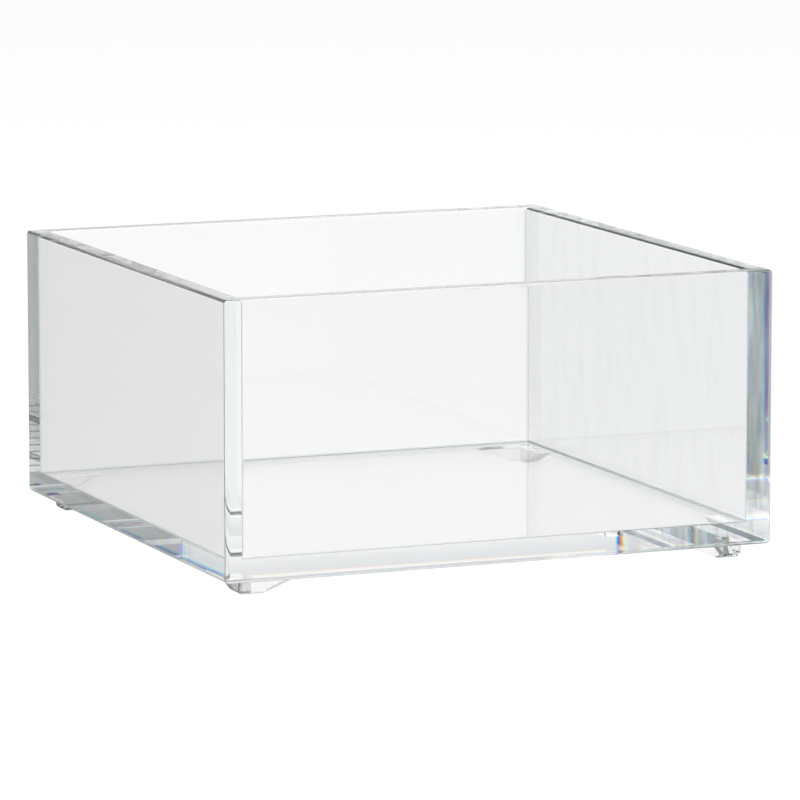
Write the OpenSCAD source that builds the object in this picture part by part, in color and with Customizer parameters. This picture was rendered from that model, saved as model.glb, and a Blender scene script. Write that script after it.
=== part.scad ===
// Open storage box of thick clear sheet. Four walls are cemented round a floor panel,
// and the box stands on four low corner feet, which drop inside the rim of a box below.
// The origin is the middle of the footprint, on the surface that the feet stand on.
// X runs along the front wall, the front faces -Y, and Z points up.

/* [Box] */
// Outside width, along the front wall
box_w = 152.4; // [100:0.1:300]
// Outside depth, from the front wall to the back wall
box_d = 152.4; // [100:0.1:300]
// Height of the walls, from their lower edge to the rim
wall_h = 72.2; // [30:0.1:200]

/* [Sheet] */
// Thickness of the four walls
wall_t = 5.6; // [3:0.1:10]
// Thickness of the floor panel, which lies between the walls
floor_t = 5.6; // [3:0.1:10]

/* [Edges] */
// Radius of the rim's inside and outside edges
rim_r = 0.9; // [0.3:0.1:2.5]
// Radius of the upright outside corners
corner_r = 1.25; // [0.3:0.05:3]
// Radius of the walls' lower outside edges
base_r = 1.25; // [0.3:0.05:3]

/* [Feet] */
// Height of the feet
foot_h = 4; // [1.5:0.1:8]
// Thickness of the two arms of each foot
foot_t = 4; // [2:0.1:8]
// Length of each arm that stands on the ground
foot_flat = 6.6; // [5:0.1:15]
// Length over which each arm then slopes up to the floor panel
foot_ramp = 9.8; // [3:0.1:20]
// Radius of the feet's outer corner and outer lower edges
foot_r = 1; // [0.3:0.1:2]
// Gap on each side between the feet and the rim of a box below
stack_gap = 0.15; // [0.05:0.05:1]

/* [Hidden] */

$fn = 64;
clear_sheet = [0.84, 0.92, 0.93, 0.45];

// Distances between the inside faces of opposite walls
inner_w = box_w - 2 * wall_t;
inner_d = box_d - 2 * wall_t;

foot_inset = wall_t + stack_gap;
foot_len = foot_flat + foot_ramp;

// A rounding takes at most half of the sheet's thickness
rim_round = min(rim_r, wall_t / 2);
corner_round = min(corner_r, wall_t / 2);
base_round = min(base_r, wall_t / 2);
foot_round = min(foot_r, foot_t / 2);

// How far a cutting shape runs past the face that it cuts
over = 1;

// What a rounding takes off a corner that lies at the origin, with the sheet
// on the positive side of both axes
module corner_waste(radius) {
    difference() {
        translate([-over, -over]) square(radius + over);
        translate([radius, radius]) circle(radius);
    }
}

// Rectangle that stands on the X axis, centred, with its corners rounded
module rounded_section(width, height, low_radius, high_radius) {
    difference() {
        translate([-width / 2, 0]) square([width, height]);
        for (side = [0, 1]) mirror([side, 0]) {
            translate([-width / 2, 0]) corner_waste(low_radius);
            translate([-width / 2, height]) mirror([0, 1]) corner_waste(high_radius);
        }
    }
}

// Upright section through the hollow between two walls, with the rim's inside
// edges rounded off the walls
module hollow_section(width) {
    translate([-width / 2, -over]) square([width, wall_h + 2 * over]);
    for (side = [0, 1]) mirror([side, 0])
        translate([-width / 2, wall_h]) rotate(180) corner_waste(rim_round);
}

// Carries a section that is drawn in the front view from the front to the back
module front_view() {
    translate([0, box_d / 2 + over, foot_h]) rotate([90, 0, 0])
        linear_extrude(box_d + 2 * over) children();
}

// Carries a section that is drawn in the side view from the left to the right
module side_view() {
    translate([-box_w / 2 - over, 0, foot_h]) rotate([90, 0, 90])
        linear_extrude(box_w + 2 * over) children();
}

// The four walls in one, with every outside edge and the rim rounded
module wall_ring() {
    difference() {
        intersection() {
            translate([0, -box_d / 2, foot_h]) linear_extrude(wall_h)
                rounded_section(box_w, box_d, corner_round, corner_round);
            front_view() rounded_section(box_w, wall_h, base_round, rim_round);
            side_view() rounded_section(box_d, wall_h, base_round, rim_round);
        }
        intersection() {
            front_view() hollow_section(inner_w);
            side_view() hollow_section(inner_d);
        }
    }
}

// The front and back walls run the full width and cover the side walls' ends
module wide_wall(back) {
    intersection() {
        wall_ring();
        mirror([0, back, 0]) translate([-box_w / 2 - over, -box_d / 2 - over, 0])
            cube([box_w + 2 * over, wall_t + over, foot_h + wall_h + over]);
    }
}

// The side walls fit between the front and back walls
module side_wall(right) {
    intersection() {
        wall_ring();
        mirror([right, 0, 0]) translate([-box_w / 2 - over, -inner_d / 2, 0])
            cube([wall_t + over, inner_d, foot_h + wall_h + over]);
    }
}

module front_wall() {
    color(clear_sheet) wide_wall(0);
}

module back_wall() {
    color(clear_sheet) wide_wall(1);
}

module left_wall() {
    color(clear_sheet) side_wall(0);
}

module right_wall() {
    color(clear_sheet) side_wall(1);
}

// Lies between the four walls, level with their lower edges
module floor_panel() {
    color(clear_sheet) translate([-inner_w / 2, -inner_d / 2, foot_h])
        cube([inner_w, inner_d, floor_t]);
}

// One arm of a foot: flat on the ground from its outer end, then sloping up
module foot_arm() {
    translate([0, foot_t, 0]) rotate([90, 0, 0]) linear_extrude(foot_t)
        polygon([[0, 0], [foot_flat, 0], [foot_len, foot_h], [0, foot_h]]);
}

// L-shaped foot whose outer corner lies at the origin, with one arm along each axis
module foot() {
    difference() {
        union() {
            foot_arm();
            mirror([1, -1, 0]) foot_arm();
        }
        translate([0, 0, -over]) linear_extrude(foot_h + 2 * over) corner_waste(foot_round);
        foot_edge_waste();
        mirror([1, -1, 0]) foot_edge_waste();
    }
}

// What the rounding takes off a foot's outer lower edge that runs along the X axis
module foot_edge_waste() {
    translate([-over, 0, 0]) rotate([90, 0, 90]) linear_extrude(foot_len + 2 * over)
        corner_waste(foot_round);
}

// Sets a foot under one corner of the floor panel
module placed_foot(right, back) {
    color(clear_sheet) mirror([right, 0, 0]) mirror([0, back, 0])
        translate([foot_inset - box_w / 2, foot_inset - box_d / 2, 0]) foot();
}

module foot_front_left() {
    placed_foot(0, 0);
}

module foot_front_right() {
    placed_foot(1, 0);
}

module foot_back_left() {
    placed_foot(0, 1);
}

module foot_back_right() {
    placed_foot(1, 1);
}

front_wall();
back_wall();
left_wall();
right_wall();
floor_panel();
foot_front_left();
foot_front_right();
foot_back_left();
foot_back_right();
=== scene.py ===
"""Open storage box of thick clear acrylic sheet on four low corner feet."""
import math

import bmesh
import bpy
from mathutils import Matrix, Vector
from mathutils.geometry import delaunay_2d_cdt


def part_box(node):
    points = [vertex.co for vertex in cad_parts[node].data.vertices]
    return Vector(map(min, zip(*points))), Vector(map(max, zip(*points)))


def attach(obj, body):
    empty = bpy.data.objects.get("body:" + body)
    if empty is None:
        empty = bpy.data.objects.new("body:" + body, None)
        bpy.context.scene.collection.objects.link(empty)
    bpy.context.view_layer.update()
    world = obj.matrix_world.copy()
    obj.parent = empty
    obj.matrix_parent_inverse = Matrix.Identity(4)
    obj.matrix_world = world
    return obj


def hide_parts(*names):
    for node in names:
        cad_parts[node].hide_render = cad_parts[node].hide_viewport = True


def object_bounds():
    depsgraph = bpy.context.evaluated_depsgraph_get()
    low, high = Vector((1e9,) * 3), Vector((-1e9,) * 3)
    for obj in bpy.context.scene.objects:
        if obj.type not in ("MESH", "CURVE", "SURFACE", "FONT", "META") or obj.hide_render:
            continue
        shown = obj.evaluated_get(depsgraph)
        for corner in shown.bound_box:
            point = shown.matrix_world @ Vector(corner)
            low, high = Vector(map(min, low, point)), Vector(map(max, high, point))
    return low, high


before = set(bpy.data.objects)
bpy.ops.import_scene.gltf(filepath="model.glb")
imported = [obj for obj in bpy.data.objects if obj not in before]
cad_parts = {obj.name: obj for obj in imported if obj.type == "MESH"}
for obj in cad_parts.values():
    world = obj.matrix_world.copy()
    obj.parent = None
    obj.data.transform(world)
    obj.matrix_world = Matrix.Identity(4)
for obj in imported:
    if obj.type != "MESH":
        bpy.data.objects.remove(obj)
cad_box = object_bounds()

MM = 0.001

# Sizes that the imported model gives
BOX_LOW, BOX_HIGH = cad_box
WIDTH = BOX_HIGH.x - BOX_LOW.x
DEPTH = BOX_HIGH.y - BOX_LOW.y
RIM_Z = BOX_HIGH.z
FRONT_LOW, FRONT_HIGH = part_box("front_wall")
WALL_T = FRONT_HIGH.y - FRONT_LOW.y
BASE_Z = FRONT_LOW.z
FLOOR_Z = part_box("floor_panel")[1].z
INNER_X = WIDTH / 2 - WALL_T
INNER_Y = DEPTH / 2 - WALL_T
FOOT_LOW, FOOT_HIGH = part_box("foot_front_left")
FOOT_INSET = FOOT_LOW.x - BOX_LOW.x
FOOT_LEN = FOOT_HIGH.x - FOOT_LOW.x
FOOT_H = FOOT_HIGH.z - FOOT_LOW.z

# Roundings, the arms of the feet, and the beads of cement, which stop just short of
# the sheets
RIM_R = 0.9 * MM
CORNER_R = 1.25 * MM
BASE_R = 1.25 * MM
FOOT_T = 4 * MM
FOOT_FLAT = 6.6 * MM
FOOT_R = 1 * MM
FOOT_SOFTEN = 0.25 * MM
BEAD_R = 0.5 * MM
BEAD_GAP = 0.01 * MM

# The corners of the box in turn, as signs of X and Y
CORNERS = ((-1, -1), (1, -1), (1, 1), (-1, 1))

# Steps of a rounding, and what counts as a sharp edge or as the same point
ROUND_STEPS = 8
SOFTEN_STEPS = 4
SHARP_ANGLE = math.radians(35)
SAME_POINT = 0.5e-6
FLAT_SNAP = SAME_POINT / 10

# How far large faces set the shading at their edges, the kind of triangulation that
# fills its outer outline, and the material index of faces that are cemented
LARGE_FACE_WEIGHT = 100
FILL_OUTLINE = 1
JOINT = 1

# Share of red, green and blue left after one metre. The back and right sheets and the
# feet are tinted far more than clear acrylic, as painted shade that makes their edges dark
CLEAR_SHEET = (0.85, 0.91, 0.9)
BACK_SHEET_PAINTED_SHADE = (0.013, 0.02, 0.021)
RIGHT_SHEET_PAINTED_SHADE = (0.03, 0.07, 0.085)
FOOT_PAINTED_SHADE = (1e-10, 3e-10, 3e-10)

# Refraction, and that of red, green and blue near the edges where colours split
ACRYLIC_IOR = 1.49
RAINBOW_IOR = (1.475, 1.49, 1.51)
RAINBOW_END = 7.5 * MM
EDGE_MARGIN = 0.5 * MM

# Ripples and smears of the acrylic, streaks that darken light turned back inside, the least
# share of light that the painted shade leaves, and what is left of lamplight that goes
# through a piece
RIPPLE_STRENGTH = 0.3
RIPPLE_DEPTH = 0.005 * MM
RIPPLE_DETAIL = 2
FINE_DETAIL = 5
STREAK_SCALE = (170, 170, 45)
STREAK_BEND = 0.6
STREAK_LIMITS = (0.45, 0.7)
SMEAR_SCALE = 55
SMEAR_LIMITS = (0.55, 0.8)
LEAST_KEPT = 0.3
LAMPLIGHT_LEFT = (0.92, 0.93, 0.93, 1)

# The beads of cement
BEAD_TINT = (0.93, 0.94, 0.945, 1)
BEAD_ROUGHNESS = 0.03
BEAD_RIPPLE_SCALE = 160
BEAD_RIPPLE_DEPTH = 0.05 * MM

# The photograph's camera
CAMERA_PLACE = (-0.5973, -1.4408, 0.2792)
CAMERA_AZIMUTH = -22.618
CAMERA_ELEVATION = 8.882
CAMERA_FOCAL_PX = 5902.5
CAMERA_REACH = 30
IMAGE_PX = 800
SENSOR_MM = 36
HALF_PIXEL = 0.5 / IMAGE_PX

# The studio: its floor, and its sky by the height of the direction
WHITE = (1, 1, 1, 1)
FLOOR_SIZE = 12
FLOOR_CELLS = 4
FLOOR_COLOUR = (0.9, 0.9, 0.9, 1)
BACKGROUND_SHARE = 0.88
SKY_WHITE_HEIGHT = 0.26
SKY_GREY_HEIGHT = 0.5
SKY_GREY = (0.46, 0.49, 0.51, 1)

# Bounces of light inside the sheets, and passes through joints
SHEET_BOUNCES = 40
JOINT_PASSES = 80


def arc(centre, radius, start, end):
    """Points of an arc in a plane, from one angle to another in degrees."""
    points = []
    for step in range(ROUND_STEPS + 1):
        angle = math.radians(start + (end - start) * step / ROUND_STEPS)
        points.append(
            (centre[0] + radius * math.cos(angle), centre[1] + radius * math.sin(angle))
        )
    return points


def join_rows(bm, rows):
    """Faces between each row of points and the next, each with its place in the row."""
    faces = []
    for row, following in zip(rows, rows[1:]):
        for i, point in enumerate(row):
            j = (i + 1) % len(row)
            face = bm.faces.new((point, row[j], following[j], following[i]))
            faces.append((i, face))
    return faces


def round_edges(bm, edges, radius, steps):
    """Rounds these edges of a mesh, in so many steps."""
    bmesh.ops.bevel(
        bm,
        geom=edges,
        offset=radius,
        segments=steps,
        profile=0.5,
        affect="EDGES",
        clamp_overlap=True,
    )


def new_piece(name, bm, look, joint_look, turn=None, place=(0, 0, 0), replaced=True):
    """Makes an object of a mesh whose cemented faces have the material index JOINT."""
    bmesh.ops.remove_doubles(bm, verts=bm.verts, dist=SAME_POINT)
    bmesh.ops.dissolve_degenerate(bm, edges=bm.edges, dist=SAME_POINT)
    if turn:
        bmesh.ops.transform(bm, matrix=turn, verts=bm.verts)
    bmesh.ops.translate(bm, vec=place, verts=bm.verts)
    bmesh.ops.recalc_face_normals(bm, faces=bm.faces)
    for face in bm.faces:
        face.smooth = True
    for edge in bm.edges:
        kinds = {face.material_index for face in edge.link_faces}
        bend = edge.calc_face_angle(0)
        edge.smooth = len(kinds) == 1 and bend < SHARP_ANGLE
    mesh = bpy.data.meshes.new(name)
    bm.to_mesh(mesh)
    bm.free()
    piece = bpy.data.objects.new(name + "_acrylic", mesh)
    bpy.context.scene.collection.objects.link(piece)
    mesh.materials.append(look)
    mesh.materials.append(joint_look)
    keep = piece.modifiers.new("flat_faces", "WEIGHTED_NORMAL")
    keep.keep_sharp = True
    keep.weight = LARGE_FACE_WEIGHT
    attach(piece, "root")
    if replaced:
        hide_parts(name)
    return piece


def wall_section():
    """The wall's upright section as (inset from the outside face, height)."""
    return [
        (WALL_T, BASE_Z),
        *arc((BASE_R, BASE_Z + BASE_R), BASE_R, 270, 180),
        *arc((RIM_R, RIM_Z - RIM_R), RIM_R, 180, 90),
        *arc((WALL_T - RIM_R, RIM_Z - RIM_R), RIM_R, 90, 0),
        (WALL_T, FLOOR_Z),
    ]


def corner_point(inset, angle):
    """Where a line at this inset passes a box corner that lies at the origin."""
    if inset >= CORNER_R:
        return inset, inset
    radius = CORNER_R - inset
    return CORNER_R + radius * math.cos(angle), CORNER_R + radius * math.sin(angle)


def wide_wall_stations(length):
    """Places along a wall that turns round both box corners, as functions of inset."""
    corner = []
    for step in range(ROUND_STEPS + 1):
        angle = math.radians(180 + 90 * step / ROUND_STEPS)
        corner.append(lambda inset, a=angle: corner_point(inset, a))
    left = [lambda inset: (inset, WALL_T), *corner]

    def mirrored(station):
        return lambda inset: (length - station(inset)[0], station(inset)[1])

    return left + [mirrored(station) for station in reversed(left)]


def side_wall_stations(length):
    """The two cut ends of a wall that stands between the wide walls."""
    return [
        lambda inset: (inset, length - WALL_T),
        lambda inset: (inset, WALL_T),
    ]


def wall(name, stations, turn, look, joint_look):
    """A wall swept along its stations, with its cemented faces marked."""
    bm = bmesh.new()
    section = wall_section()
    rows = [
        [bm.verts.new((*station(inset), z)) for inset, z in section]
        for station in stations
    ]
    floor_strip = len(section) - 1
    for strip, face in join_rows(bm, rows):
        if strip == floor_strip:
            face.material_index = JOINT
    for row in (rows[0], rows[-1]):
        bm.faces.new(row).material_index = JOINT
    return new_piece(name, bm, look, joint_look, turn)


def l_shape(length):
    """Outline of an L with both arms this long and its outer corner at the origin."""
    along_x = [(0, 0), (length, 0), (length, FOOT_T), (FOOT_T, FOOT_T)]
    return along_x + [(FOOT_T, length), (0, length)]


def foot_mesh():
    """The front-left foot, with its outer lower corner at the origin."""
    bm = bmesh.new()
    base = [bm.verts.new((x, y, 0)) for x, y in l_shape(FOOT_FLAT)]
    top = [bm.verts.new((x, y, FOOT_H)) for x, y in l_shape(FOOT_LEN)]
    bm.faces.new(base)
    bm.faces.new(top).material_index = JOINT
    join_rows(bm, [base, top])
    outer = [bm.edges.get((base[0], end)) for end in (base[1], base[-1], top[0])]
    round_edges(bm, outer, FOOT_R, ROUND_STEPS)
    free = [
        edge
        for edge in bm.edges
        if edge.calc_face_angle(0) > SHARP_ANGLE
        and not any(face.material_index == JOINT for face in edge.link_faces)
    ]
    round_edges(bm, free, FOOT_SOFTEN, SOFTEN_STEPS)
    for face in bm.faces:
        on_top = face.calc_center_median().z > FOOT_H - SAME_POINT
        face.material_index = JOINT if on_top else 0
    return bm


def foot(name, right, back, look, joint_look):
    """A foot in its place, and the outline where it is cemented under the floor panel."""
    bm = foot_mesh()
    along_x, along_y = 1 - 2 * right, 1 - 2 * back
    side = Matrix.Diagonal((along_x, along_y, 1, 1))
    corner = Vector(
        (
            (FOOT_INSET - WIDTH / 2) * along_x,
            (FOOT_INSET - DEPTH / 2) * along_y,
            FOOT_LOW.z,
        )
    )
    joint = next(face for face in bm.faces if face.material_index == JOINT)
    outline = [(side @ vert.co + corner).xy for vert in joint.verts]
    if side.determinant() < 0:
        outline.reverse()
    return new_piece(name, bm, look, joint_look, side, corner), outline


def inside(point, outline):
    """True if a point of the plane lies within an outline."""
    crossings = 0
    for a, b in zip(outline, outline[1:] + outline[:1]):
        if (a.y > point.y) != (b.y > point.y):
            x = a.x + (point.y - a.y) / (b.y - a.y) * (b.x - a.x)
            crossings += x > point.x
    return crossings % 2 == 1


def floor_panel(name, outlines, look, joint_look):
    """The floor panel, whose underside is divided where the feet are cemented on."""
    bm = bmesh.new()
    rim = [Vector((x * INNER_X, y * INNER_Y)) for x, y in CORNERS]
    points, edges = [], []
    for loop in (rim, *outlines):
        first = len(points)
        points += loop
        edges += [(first + i, first + (i + 1) % len(loop)) for i in range(len(loop))]
    flat, _, triangles, *_ = delaunay_2d_cdt(points, edges, [], FILL_OUTLINE, FLAT_SNAP)
    under = [bm.verts.new((*point, BASE_Z)) for point in flat]
    for triangle in triangles:
        face = bm.faces.new([under[i] for i in triangle])
        middle = face.calc_center_median().xy
        if any(inside(middle, loop) for loop in outlines):
            face.material_index = JOINT
    base = [bm.verts.new((*point, BASE_Z)) for point in rim]
    top = [bm.verts.new((*point, FLOOR_Z)) for point in rim]
    bm.faces.new(top)
    for _, face in join_rows(bm, [base, top]):
        face.material_index = JOINT
    return new_piece(name, bm, look, joint_look)


def bead_section():
    """A concave fillet in the corner at the origin, as distances from its two faces."""
    legs = [(BEAD_GAP, BEAD_GAP), (BEAD_R, BEAD_GAP)]
    hollow = arc((BEAD_R, BEAD_R), BEAD_R - BEAD_GAP, 270, 180)
    return legs + hollow[1:]


def cement_beads(name, look):
    """Fine beads of cement in the inside corners, up the walls and round the floor."""
    bm = bmesh.new()
    section = bead_section()
    for side_x, side_y in CORNERS:
        ends = [
            [
                bm.verts.new((side_x * (INNER_X - a), side_y * (INNER_Y - b), z))
                for a, b in section
            ]
            for z in (FLOOR_Z + BEAD_R, RIM_Z - RIM_R)
        ]
        join_rows(bm, ends)
        for end in ends:
            bm.faces.new(end)
    rings = [
        [
            bm.verts.new((side_x * (INNER_X - a), side_y * (INNER_Y - a), FLOOR_Z + b))
            for a, b in section
        ]
        for side_x, side_y in CORNERS
    ]
    join_rows(bm, rings + rings[:1])
    return new_piece(name, bm, look, look, replaced=False)


class Nodes:
    """An emptied node tree of a material or world, with short ways to fill it.
    Every input is a number, a colour or the output of another node."""

    def __init__(self, owner):
        owner.use_nodes = True
        self.tree = owner.node_tree
        self.tree.nodes.clear()

    def add(self, kind, inputs=None, **settings):
        node = self.tree.nodes.new(kind)
        for key, value in settings.items():
            setattr(node, key, value)
        for key, value in (inputs or {}).items():
            if isinstance(value, bpy.types.NodeSocket):
                self.tree.links.new(value, node.inputs[key])
            else:
                node.inputs[key].default_value = value
        return node

    def maths(self, operation, *values):
        inputs = dict(enumerate(values))
        return self.add("ShaderNodeMath", inputs, operation=operation).outputs[0]

    def product(self, first, *others):
        for other in others:
            first = self.maths("MULTIPLY", first, other)
        return first

    def height(self, vector):
        return self.add("ShaderNodeSeparateXYZ", {0: vector}).outputs["Z"]

    def noise(self, place, scale, detail, bend=0):
        inputs = {"Vector": place, "Scale": scale, "Detail": detail, "Distortion": bend}
        return self.add("ShaderNodeTexNoise", inputs).outputs[0]

    def climb(self, value, limits, top):
        """From 0 at the lower limit of a value to the top at its upper limit."""
        low, high = limits
        inputs = {"Value": value, "From Min": low, "From Max": high, "To Max": top}
        return self.add("ShaderNodeMapRange", inputs).outputs[0]

    def bump(self, relief, depth):
        inputs = {"Height": relief, "Strength": RIPPLE_STRENGTH, "Distance": depth}
        return self.add("ShaderNodeBump", inputs).outputs[0]

    def glass(self, colour, ior, roughness, normal):
        inputs = {"Color": colour, "IOR": ior, "Roughness": roughness, "Normal": normal}
        return self.add("ShaderNodeBsdfGlass", inputs).outputs[0]

    def mix(self, share, first, second):
        inputs = {0: share, 1: first, 2: second}
        return self.add("ShaderNodeMixShader", inputs).outputs[0]

    def surface(self, shader, lamplight_left=None):
        """Ends a material. Where a colour is given, lamps shine straight through."""
        if lamplight_left:
            clear = self.add("ShaderNodeBsdfTransparent", {"Color": lamplight_left})
            to_lamp = self.add("ShaderNodeLightPath").outputs["Is Shadow Ray"]
            shader = self.mix(to_lamp, shader, clear.outputs[0])
        self.add("ShaderNodeOutputMaterial", {"Surface": shader})


def split_colours(nodes, kept, roughness, normal):
    """Equal parts of a red, a green and a blue glass that bend light differently."""
    spread = None
    for channel, ior in enumerate(RAINBOW_IOR):
        strength = nodes.maths("MULTIPLY", kept, len(RAINBOW_IOR))
        colour = nodes.add("ShaderNodeCombineColor", {channel: strength}).outputs[0]
        one = nodes.glass(colour, ior, roughness, normal)
        spread = nodes.mix(1 / (channel + 1), spread, one) if spread else one
    return spread


def split_zone(nodes, place, low, entering):
    """Where colours split: the walls' lower edges and the front wall's right end."""
    end = nodes.maths("GREATER_THAN", place["X"], WIDTH / 2 - RAINBOW_END)
    front = nodes.maths("LESS_THAN", place["Y"], EDGE_MARGIN - DEPTH / 2)
    zone = nodes.maths("MAXIMUM", low, nodes.product(end, front))
    on_walls = nodes.maths("GREATER_THAN", place["Z"], BASE_Z + SAME_POINT)
    return nodes.product(zone, on_walls, entering)


def acrylic(
    name,
    left_after_metre,
    ripple_scale,
    wear,
    streaks,
    side_painted_shade,
    top_painted_shade,
    low_band_painted_shade=0,
):
    """Clear acrylic whose tint deepens with the length of the light's way inside it.
    The side and top painted shades say how much darker than the background the studio is that
    upright and level faces mirror; this is painted shade taken from the colour of faces that
    light enters, more on upright faces than on level ones. The low band's painted shade is
    what the low edges take, as painted shade, from light that they turn back inside."""
    material = bpy.data.materials.new(name)
    nodes = Nodes(material)
    geometry = nodes.add("ShaderNodeNewGeometry")
    leaving = geometry.outputs["Backfacing"]
    entering = nodes.maths("SUBTRACT", 1, leaving)
    point = nodes.add("ShaderNodeTexCoord").outputs["Object"]
    place = nodes.add("ShaderNodeSeparateXYZ", {0: point}).outputs
    low = nodes.maths("LESS_THAN", place["Z"], FLOOR_Z - EDGE_MARGIN)
    above_rounding = nodes.maths("GREATER_THAN", place["Z"], BASE_Z + BASE_R)
    fresnel = nodes.add("ShaderNodeFresnel", {"IOR": ACRYLIC_IOR}).outputs[0]

    # Painted shade: faces that light enters lose colour by their Fresnel share, upright faces
    # more than level ones
    level = nodes.maths("ABSOLUTE", nodes.height(geometry.outputs["True Normal"]))
    change = top_painted_shade - side_painted_shade
    painted_shade_share = nodes.maths("MULTIPLY_ADD", level, change, side_painted_shade)
    lost = nodes.product(fresnel, entering, painted_shade_share)
    kept = nodes.maths("SUBTRACT", 1, lost)
    kept = nodes.maths("MAXIMUM", kept, LEAST_KEPT)

    # Streaky darkening of the light that leaving faces turn back inside, and painted shade on
    # the low band of the walls
    drawn_out = nodes.add("ShaderNodeMapping", {"Vector": point, "Scale": STREAK_SCALE})
    streak = nodes.noise(drawn_out.outputs[0], 1, FINE_DETAIL, STREAK_BEND)
    streaks_and_painted_shade = nodes.climb(streak, STREAK_LIMITS, streaks)
    low_band_mask = nodes.product(low, above_rounding)
    streaks_and_painted_shade = nodes.maths("MULTIPLY_ADD", low_band_mask, low_band_painted_shade, streaks_and_painted_shade)
    kept = nodes.maths("SUBTRACT", kept, nodes.product(streaks_and_painted_shade, leaving, fresnel))

    # Tint that grows with the way inside; in the back and right sheets and the feet it is
    # painted shade
    way = nodes.add("ShaderNodeLightPath").outputs["Ray Length"]
    way = nodes.product(way, leaving, above_rounding)
    tint = [nodes.product(nodes.maths("POWER", left, way), kept) for left in left_after_metre]
    colour = nodes.add("ShaderNodeCombineColor", dict(enumerate(tint))).outputs[0]

    normal = nodes.bump(nodes.noise(point, ripple_scale, RIPPLE_DETAIL), RIPPLE_DEPTH)
    smears = nodes.noise(point, SMEAR_SCALE, FINE_DETAIL)
    roughness = nodes.climb(smears, SMEAR_LIMITS, wear)
    plain = nodes.glass(colour, ACRYLIC_IOR, roughness, normal)
    spread = split_colours(nodes, kept, roughness, normal)
    body = nodes.mix(split_zone(nodes, place, low, entering), plain, spread)
    nodes.surface(body, LAMPLIGHT_LEFT)
    return material


def cement():
    """Faces where two pieces are cemented and light passes straight on."""
    material = bpy.data.materials.new("cement")
    nodes = Nodes(material)
    nodes.surface(nodes.add("ShaderNodeBsdfTransparent").outputs[0])
    return material


def bead_cement():
    """Slightly grey clear cement with a fine ripple along the beads."""
    material = bpy.data.materials.new("bead_cement")
    nodes = Nodes(material)
    point = nodes.add("ShaderNodeTexCoord").outputs["Object"]
    ripple = nodes.noise(point, BEAD_RIPPLE_SCALE, RIPPLE_DETAIL)
    normal = nodes.bump(ripple, BEAD_RIPPLE_DEPTH)
    glass = nodes.glass(BEAD_TINT, ACRYLIC_IOR, BEAD_ROUGHNESS, normal)
    nodes.surface(glass, WHITE)
    return material


def studio_floor():
    """A pale floor that shows as the white background and keeps a soft shadow."""
    material = bpy.data.materials.new("studio_floor")
    nodes = Nodes(material)
    path = nodes.add("ShaderNodeLightPath").outputs
    seen = nodes.maths("MAXIMUM", path["Is Camera Ray"], path["Is Glossy Ray"])
    seen = nodes.maths("MAXIMUM", seen, path["Is Transmission Ray"])
    share = nodes.product(seen, BACKGROUND_SHARE)
    lit = nodes.add("ShaderNodeBsdfDiffuse", {"Color": FLOOR_COLOUR}).outputs[0]
    white = nodes.add("ShaderNodeEmission", {"Color": WHITE}).outputs[0]
    nodes.surface(nodes.mix(share, lit, white))
    return material


def add_floor():
    """The plain floor that the box stands on."""
    bm = bmesh.new()
    cells = {"x_segments": FLOOR_CELLS, "y_segments": FLOOR_CELLS}
    bmesh.ops.create_grid(bm, size=FLOOR_SIZE / 2, **cells)
    mesh = bpy.data.meshes.new("studio_floor")
    bm.to_mesh(mesh)
    bm.free()
    ground = bpy.data.objects.new("studio_floor", mesh)
    ground.location.z = BOX_LOW.z
    mesh.materials.append(studio_floor())
    bpy.context.scene.collection.objects.link(ground)


def add_world():
    """White round the horizon and grey overhead, the same from every side."""
    world = bpy.data.worlds.new("studio")
    bpy.context.scene.world = world
    nodes = Nodes(world)
    direction = nodes.add("ShaderNodeTexCoord").outputs["Generated"]
    ramp = nodes.add("ShaderNodeValToRGB", {0: nodes.height(direction)})
    white, grey = ramp.color_ramp.elements
    white.position = SKY_WHITE_HEIGHT
    white.color = WHITE
    grey.position = SKY_GREY_HEIGHT
    grey.color = SKY_GREY
    sky = nodes.add("ShaderNodeBackground", {"Color": ramp.outputs[0]}).outputs[0]
    nodes.add("ShaderNodeOutputWorld", {"Surface": sky})


def add_lamp(name, place, size, energy):
    """A soft square lamp that faces the box."""
    data = bpy.data.lights.new(name, "AREA")
    data.shape = "SQUARE"
    data.size = size
    data.energy = energy
    lamp = bpy.data.objects.new(name, data)
    lamp.location = place
    away = Vector(place) - Vector((0, 0, RIM_Z / 2))
    lamp.rotation_euler = away.to_track_quat("Z", "Y").to_euler()
    bpy.context.scene.collection.objects.link(lamp)


def add_camera():
    """The photograph's viewing angle and framing."""
    data = bpy.data.cameras.new("camera")
    data.sensor_width = SENSOR_MM
    data.lens = CAMERA_FOCAL_PX / IMAGE_PX * SENSOR_MM
    data.shift_x = -HALF_PIXEL
    data.shift_y = HALF_PIXEL
    data.clip_end = CAMERA_REACH
    camera = bpy.data.objects.new("camera", data)
    camera.location = CAMERA_PLACE
    camera.rotation_euler = (
        math.radians(90 - CAMERA_ELEVATION),
        0,
        math.radians(CAMERA_AZIMUTH),
    )
    bpy.context.scene.collection.objects.link(camera)
    bpy.context.scene.camera = camera


def set_light_paths():
    """Enough bounces for light that runs inside the sheets."""
    cycles = bpy.context.scene.cycles
    cycles.max_bounces = SHEET_BOUNCES
    cycles.transmission_bounces = SHEET_BOUNCES
    cycles.glossy_bounces = SHEET_BOUNCES
    cycles.transparent_max_bounces = JOINT_PASSES
    bpy.context.scene.view_settings.view_transform = "Standard"


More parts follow.
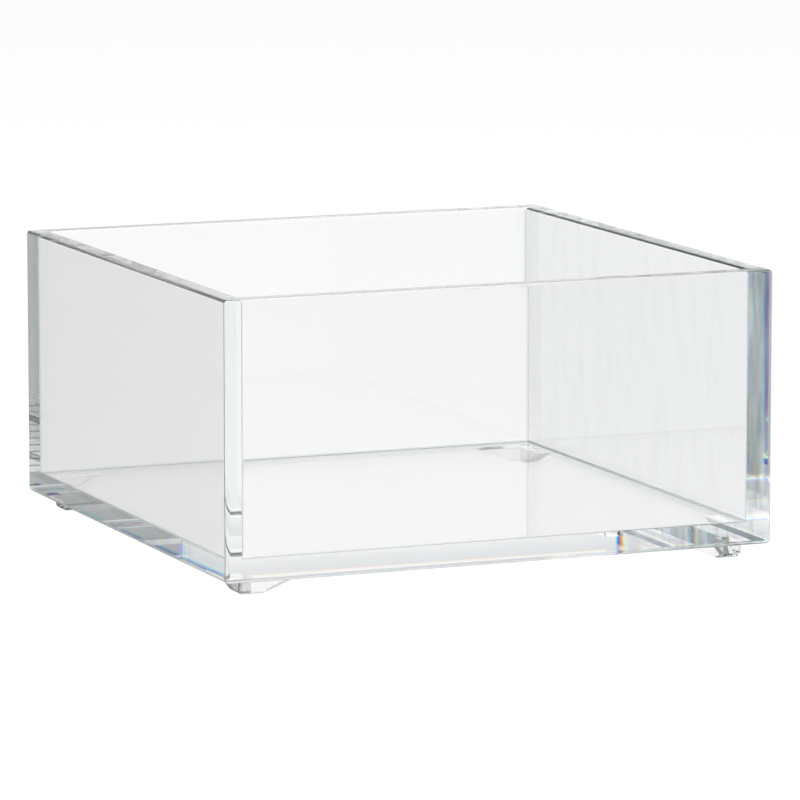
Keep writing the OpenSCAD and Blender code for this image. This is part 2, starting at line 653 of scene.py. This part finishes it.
def make_looks():
    """The acrylic of each group of pieces, each with painted shade on the faces that light
    enters.
    """
    return {
        "clear": acrylic(
            "acrylic_clear_with_painted_shade",
            CLEAR_SHEET,
            ripple_scale=18,
            wear=0.01,
            streaks=0.008,
            side_painted_shade=1.3,
            top_painted_shade=0.55,
        ),
        # The back sheet's far deeper tint is painted shade that darkens its edges
        "back": acrylic(
            "acrylic_back_with_painted_shade",
            BACK_SHEET_PAINTED_SHADE,
            ripple_scale=18,
            wear=0.01,
            streaks=0.01,
            side_painted_shade=1.1,
            top_painted_shade=0,
            low_band_painted_shade=0.5,
        ),
        # The right sheet's far deeper tint is painted shade that darkens its edges
        "right": acrylic(
            "acrylic_right_with_painted_shade",
            RIGHT_SHEET_PAINTED_SHADE,
            ripple_scale=40,
            wear=0.02,
            streaks=0.25,
            side_painted_shade=1,
            top_painted_shade=0,
        ),
        "floor": acrylic(
            "acrylic_floor_with_painted_shade",
            CLEAR_SHEET,
            ripple_scale=26,
            wear=0.015,
            streaks=0.01,
            side_painted_shade=0,
            top_painted_shade=0.1,
        ),
        # The feet's near-black tint is painted shade that darkens them
        "foot": acrylic(
            "acrylic_foot_with_painted_shade",
            FOOT_PAINTED_SHADE,
            ripple_scale=60,
            wear=0.03,
            streaks=0.03,
            side_painted_shade=3.2,
            top_painted_shade=2,
        ),
    }


def build():
    """All the pieces of the box, each in the place of its solid."""
    looks = make_looks()
    joint_look = cement()
    to_middle = Matrix.Translation((-WIDTH / 2, -DEPTH / 2, 0))
    half_turn = Matrix.Rotation(math.pi, 4, "Z")
    walls = (
        ("front_wall", wide_wall_stations(WIDTH), to_middle, "clear"),
        ("back_wall", wide_wall_stations(WIDTH), half_turn @ to_middle, "back"),
        ("left_wall", side_wall_stations(DEPTH), to_middle, "clear"),
        ("right_wall", side_wall_stations(DEPTH), half_turn @ to_middle, "right"),
    )
    for name, stations, turn, look in walls:
        wall(name, stations, turn, looks[look], joint_look)
    outlines = []
    for back, depth_word in enumerate(("front", "back")):
        for right, side_word in enumerate(("left", "right")):
            name = f"foot_{depth_word}_{side_word}"
            piece, outline = foot(name, right, back, looks["foot"], joint_look)
            outlines.append(outline)
    panel = floor_panel("floor_panel", outlines, looks["floor"], joint_look)
    cement_beads("cement_beads", bead_cement())


add_camera()
set_light_paths()
build()
add_floor()
add_world()
add_lamp("top_softbox", place=(-0.2, -0.1, 1.6), size=1.2, energy=26)
add_lamp("left_softbox", place=(-1.6, -0.9, 1.2), size=1.0, energy=12)
